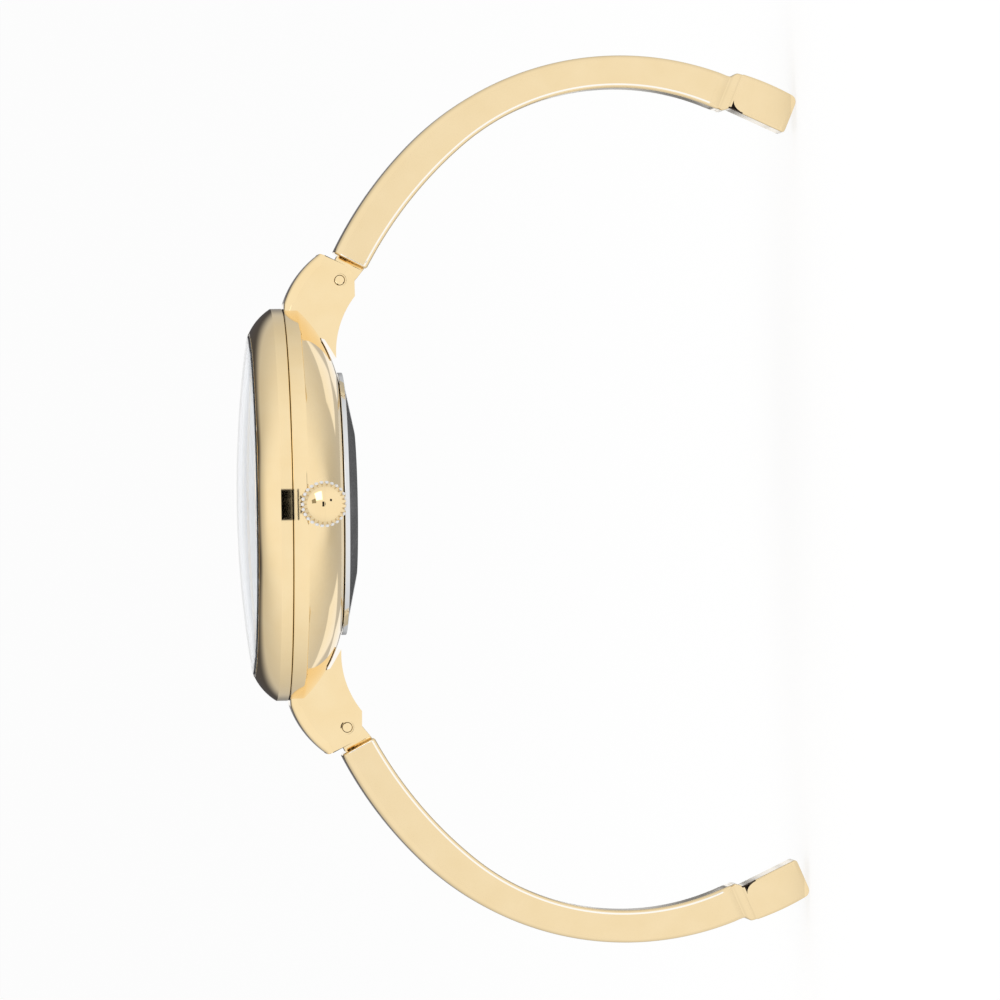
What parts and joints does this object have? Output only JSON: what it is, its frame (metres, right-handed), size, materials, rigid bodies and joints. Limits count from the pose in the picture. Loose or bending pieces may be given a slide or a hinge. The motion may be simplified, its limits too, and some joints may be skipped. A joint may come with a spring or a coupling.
{
  "type": "bangle watch",
  "caption": "Round battery watch with a domed crystal, snap caseback, knurled crown and rigid half-bangle arms hinged in its lugs.",
  "frame": {"origin": "centre of the flat outer face of the caseback", "axes": "+Z out of the dial, +Y towards 12 o'clock, +X towards the crown at 3 o'clock"},
  "size_m": [0.0387, 0.0814, 0.0519],
  "materials": {
    "gold_plate": "mirror-polished pale gold-tone plating",
    "hand_gold": "polished gold-tone",
    "gasket_rubber": "matte nitrile",
    "movement_brass": "machined",
    "movement_steel": "machined",
    "crystal_glass": "clear domed mineral glass",
    "caseback_steel": "polished stainless steel",
    "dial_white": "satin lacquer",
    "ring_plastic": "moulded",
    "plate_metal": "machined",
    "board_green": "solder mask",
    "coil_copper": "enamelled copper wire",
    "magnet_dark": "sintered magnet"
  },
  "bodies": {
    "case": {"case_body": "gold_plate", "bezel": "gold_plate", "crystal": "crystal_glass", "crystal_gasket": "gasket_rubber", "dial_ring": "dial_white", "hour_markers": "hand_gold", "dial": "dial_white", "movement_ring": "ring_plastic", "main_plate": "plate_metal", "train_bridge": "movement_brass", "bridge_screws": "movement_steel", "circuit_board": "board_green", "quartz_can": "movement_steel", "coil_core": "movement_steel", "coil_winding": "coil_copper", "coil_screws": "movement_steel", "stator": "movement_steel", "battery": "movement_steel", "battery_strap": "movement_brass", "crown_tube": "gold_plate", "caseback": "caseback_steel", "caseback_gasket": "gasket_rubber", "upper_hinge_pin": "gold_plate", "lower_hinge_pin": "gold_plate"},
    "upper_half": {"upper_arm": "gold_plate", "upper_hinge_tongue": "gold_plate", "upper_end_cap": "gold_plate"},
    "lower_half": {"lower_arm": "gold_plate", "lower_hinge_tongue": "gold_plate", "lower_end_cap": "gold_plate"},
    "pinion": {"sliding_pinion": "movement_steel"},
    "crown_and_stem": {"crown": "gold_plate", "crown_gasket": "gasket_rubber", "stem": "movement_steel"},
    "lever": {"setting_lever": "movement_steel"},
    "rotor": {"rotor_magnet": "magnet_dark", "rotor_pinion": "movement_steel"},
    "intermediate": {"intermediate_wheel": "movement_brass"},
    "seconds": {"second_wheel": "movement_brass", "second_hand": "hand_gold"},
    "third": {"third_wheel": "movement_brass"},
    "minutes": {"centre_wheel": "movement_brass", "minute_hand": "hand_gold"},
    "minute_work": {"minute_wheel": "movement_brass"},
    "hours": {"hour_wheel": "movement_brass", "hour_hand": "hand_gold"}
  },
  "joints": [
    {"name": "upper_arm_hinge", "type": "hinge", "parent": "case", "child": "upper_half", "pos_m": [0, 0.0205, 0.0011], "axis": [-1, 0, 0], "range_deg": [0, 32]},
    {"name": "lower_arm_hinge", "type": "hinge", "parent": "case", "child": "lower_half", "pos_m": [0, -0.0205, 0.0011], "axis": [1, 0, 0], "range_deg": [0, 32]},
    {"name": "crown_turn", "type": "hinge", "parent": "case", "child": "pinion", "pos_m": [0.006, 0, 0.0036], "axis": [1, 0, 0], "continuous": true},
    {"name": "crown_pull", "type": "slide", "parent": "pinion", "child": "crown_and_stem", "axis": [1, 0, 0], "range_m": [0, 0.0008]},
    {"name": "lever_turn", "type": "hinge", "parent": "case", "child": "lever", "pos_m": [0.0083, -0.00237, 0.0028], "axis": [0, 0, -1], "range_deg": [0, 19.2]},
    {"name": "second_turn", "type": "hinge", "parent": "case", "child": "seconds", "pos_m": [0, 0, 0.004], "axis": [0, 0, -1], "continuous": true},
    {"name": "rotor_turn", "type": "hinge", "parent": "case", "child": "rotor", "pos_m": [0.0011, 0.0041, 0.004], "axis": [0, 0, -1], "continuous": true},
    {"name": "intermediate_turn", "type": "hinge", "parent": "case", "child": "intermediate", "pos_m": [0.00072, 0.0027, 0.004], "axis": [0, 0, -1], "continuous": true},
    {"name": "third_turn", "type": "hinge", "parent": "case", "child": "third", "pos_m": [0.00136, -0.00236, 0.004], "axis": [0, 0, -1], "continuous": true},
    {"name": "centre_turn", "type": "hinge", "parent": "case", "child": "minutes", "pos_m": [0, 0, 0.004], "axis": [0, 0, -1], "continuous": true},
    {"name": "minute_wheel_turn", "type": "hinge", "parent": "case", "child": "minute_work", "pos_m": [-0.00166, 0.00096, 0.004], "axis": [0, 0, -1], "continuous": true},
    {"name": "hour_turn", "type": "hinge", "parent": "case", "child": "hours", "pos_m": [0, 0, 0.004], "axis": [0, 0, -1], "continuous": true}
  ],
  "couplings": [
    {"joint": "lever_turn", "follows": "crown_pull", "rad_per_m": 418.6},
    {"joint": "rotor_turn", "follows": "second_turn", "ratio": 30},
    {"joint": "intermediate_turn", "follows": "second_turn", "ratio": -6},
    {"joint": "third_turn", "follows": "second_turn", "ratio": -0.13333},
    {"joint": "centre_turn", "follows": "second_turn", "ratio": 0.016667},
    {"joint": "minute_wheel_turn", "follows": "second_turn", "ratio": -0.0055556},
    {"joint": "hour_turn", "follows": "second_turn", "ratio": 0.0013889}
  ]
}
